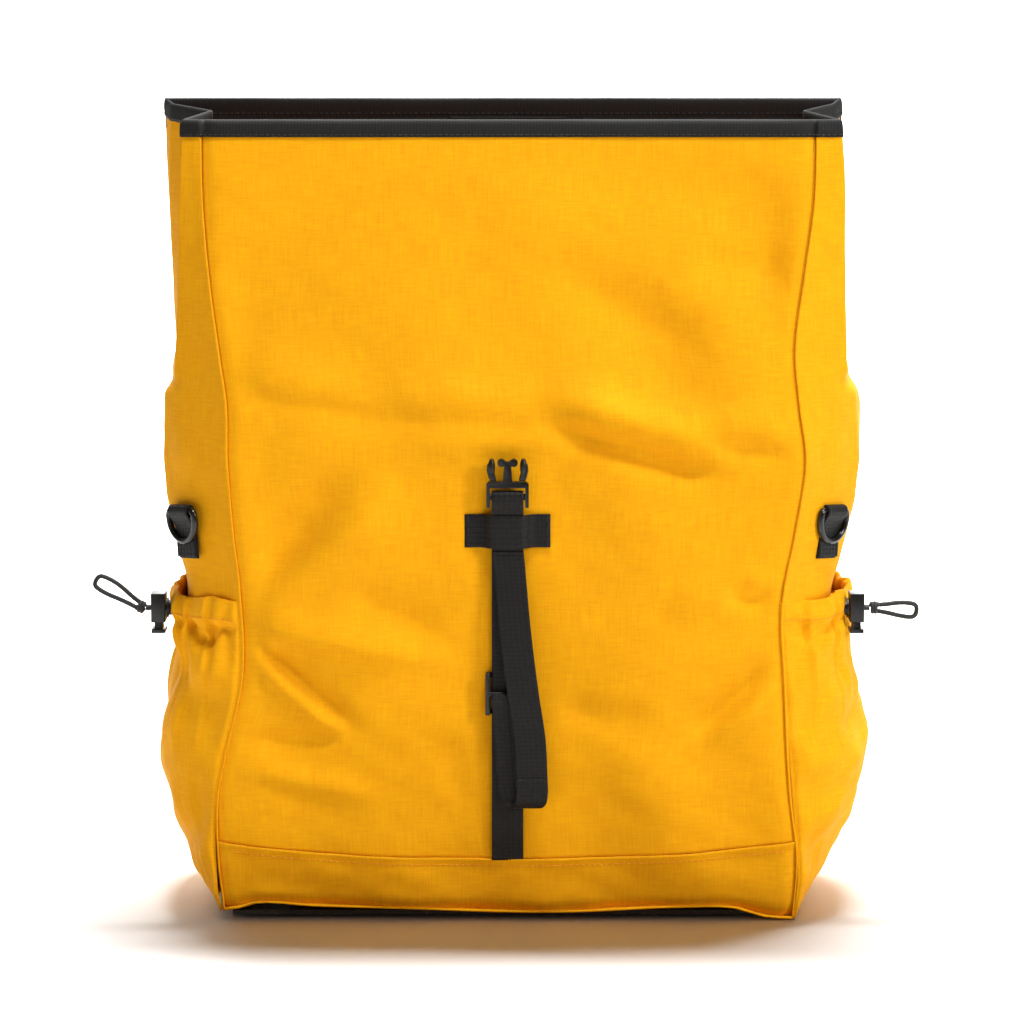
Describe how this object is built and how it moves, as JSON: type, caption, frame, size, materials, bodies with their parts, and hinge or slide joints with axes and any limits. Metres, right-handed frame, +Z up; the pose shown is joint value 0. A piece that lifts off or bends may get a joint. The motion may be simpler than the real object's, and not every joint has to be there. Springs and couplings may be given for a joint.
{
  "type": "roll-top dry bag",
  "caption": "Roll-top dry bag worn on the back, standing open, with cinched side pockets, D-rings and a buckled closure strap.",
  "frame": {"origin": "on the floor under the middle of the bag", "axes": "+Z up, -Y is the bag's front, +X the right side seen from the front"},
  "size_m": [0.5121, 0.2032, 0.501],
  "materials": {
    "fabric": "coated canvas weave",
    "stiffener": "matt sheet",
    "binding_tape": "grosgrain",
    "closure_tape": "hook and loop pile",
    "webbing": "woven webbing",
    "padding": "spacer mesh",
    "hardware": "moulded satin",
    "ring": "moulded gloss",
    "eyelet": "black painted",
    "spring": "drawn wire",
    "elastic": "braided elastic"
  },
  "bodies": {
    "bag": {"front_panel": "fabric", "front_base_band": "fabric", "back_panel": "fabric", "left_gusset": "fabric", "right_gusset": "fabric", "base_panel": "fabric", "left_pocket": "fabric", "right_pocket": "fabric", "left_pocket_hem": "fabric", "right_pocket_hem": "fabric", "base_stiffener": "stiffener", "back_stiffener": "stiffener", "mouth_binding": "binding_tape", "front_closure_strip": "closure_tape", "back_closure_strip": "closure_tape", "front_strap": "webbing", "keeper_tab": "webbing", "left_d_ring_tab": "webbing", "right_d_ring_tab": "webbing", "top_strap": "webbing", "haul_handle": "webbing", "left_shoulder_webbing": "webbing", "right_shoulder_webbing": "webbing", "left_shoulder_strap": "padding", "right_shoulder_strap": "padding", "left_ladder_lock": "hardware", "right_ladder_lock": "hardware", "left_cord_eyelet": "eyelet", "right_cord_eyelet": "eyelet", "left_hem_elastic": "elastic", "right_hem_elastic": "elastic", "left_cord_strands": "elastic", "right_cord_strands": "elastic", "left_pull_loop": "elastic", "right_pull_loop": "elastic", "left_cord_knot": "elastic", "right_cord_knot": "elastic"},
    "left_d_ring": {"left_d_ring": "ring"},
    "right_d_ring": {"right_d_ring": "ring"},
    "left_cord_lock": {"left_lock_barrel": "hardware", "left_lock_spring": "spring"},
    "right_cord_lock": {"right_lock_barrel": "hardware", "right_lock_spring": "spring"},
    "left_plunger": {"left_lock_plunger": "hardware"},
    "right_plunger": {"right_lock_plunger": "hardware"},
    "buckle": {"male_buckle": "hardware"},
    "left_arm": {"left_buckle_arm": "hardware"},
    "right_arm": {"right_buckle_arm": "hardware"},
    "slider": {"tri_glide": "hardware", "strap_front_layer": "webbing", "strap_tail_loop": "webbing"},
    "socket": {"female_buckle": "hardware"}
  },
  "joints": [
    {"name": "right_ring_swing", "type": "hinge", "parent": "bag", "child": "right_d_ring", "pos_m": [0.20015, -0.05626, 0.25252], "axis": [-0.6447, -0.7592, 0.0893], "range_deg": [0, 140]},
    {"name": "right_lock_slide", "type": "slide", "parent": "bag", "child": "right_cord_lock", "axis": [1, 0, 0], "range_m": [0, 0.003]},
    {"name": "right_plunger_press", "type": "slide", "parent": "right_cord_lock", "child": "right_plunger", "axis": [0, 0, 1], "range_m": [0, 0.0034], "stiffness_N_per_m": 600, "springref_m": -0.001, "deforming": ["right_lock_spring"]},
    {"name": "left_ring_swing", "type": "hinge", "parent": "bag", "child": "left_d_ring", "pos_m": [-0.20015, -0.05626, 0.25252], "axis": [-0.6447, 0.7592, -0.0893], "range_deg": [0, 140]},
    {"name": "left_lock_slide", "type": "slide", "parent": "bag", "child": "left_cord_lock", "axis": [-1, 0, 0], "range_m": [0, 0.003]},
    {"name": "left_plunger_press", "type": "slide", "parent": "left_cord_lock", "child": "left_plunger", "axis": [0, 0, 1], "range_m": [0, 0.0034], "stiffness_N_per_m": 600, "springref_m": -0.001, "deforming": ["left_lock_spring"]},
    {"name": "buckle_tilt", "type": "hinge", "parent": "bag", "child": "buckle", "pos_m": [0, -0.0862, 0.2647], "axis": [1, 0, 0], "range_deg": [0, 80]},
    {"name": "right_arm_squeeze", "type": "hinge", "parent": "buckle", "child": "right_arm", "pos_m": [0.0088, -0.0862, 0.2744], "axis": [0, -1, 0], "range_deg": [0, 6.5], "stiffness_Nm_per_rad": 0.02},
    {"name": "left_arm_squeeze", "type": "hinge", "parent": "buckle", "child": "left_arm", "pos_m": [-0.0088, -0.0862, 0.2744], "axis": [0, 1, 0], "range_deg": [0, 6.5], "stiffness_Nm_per_rad": 0.02},
    {"name": "slider_travel", "type": "slide", "parent": "bag", "child": "slider", "axis": [0, 0, 1], "range_m": [-0.02, 0.03], "deforming": ["strap_front_layer"]},
    {"name": "socket_swing", "type": "hinge", "parent": "bag", "child": "socket", "pos_m": [0, 0.0837, 0.174], "axis": [1, 0, 0], "range_deg": [0, 100]}
  ]
}
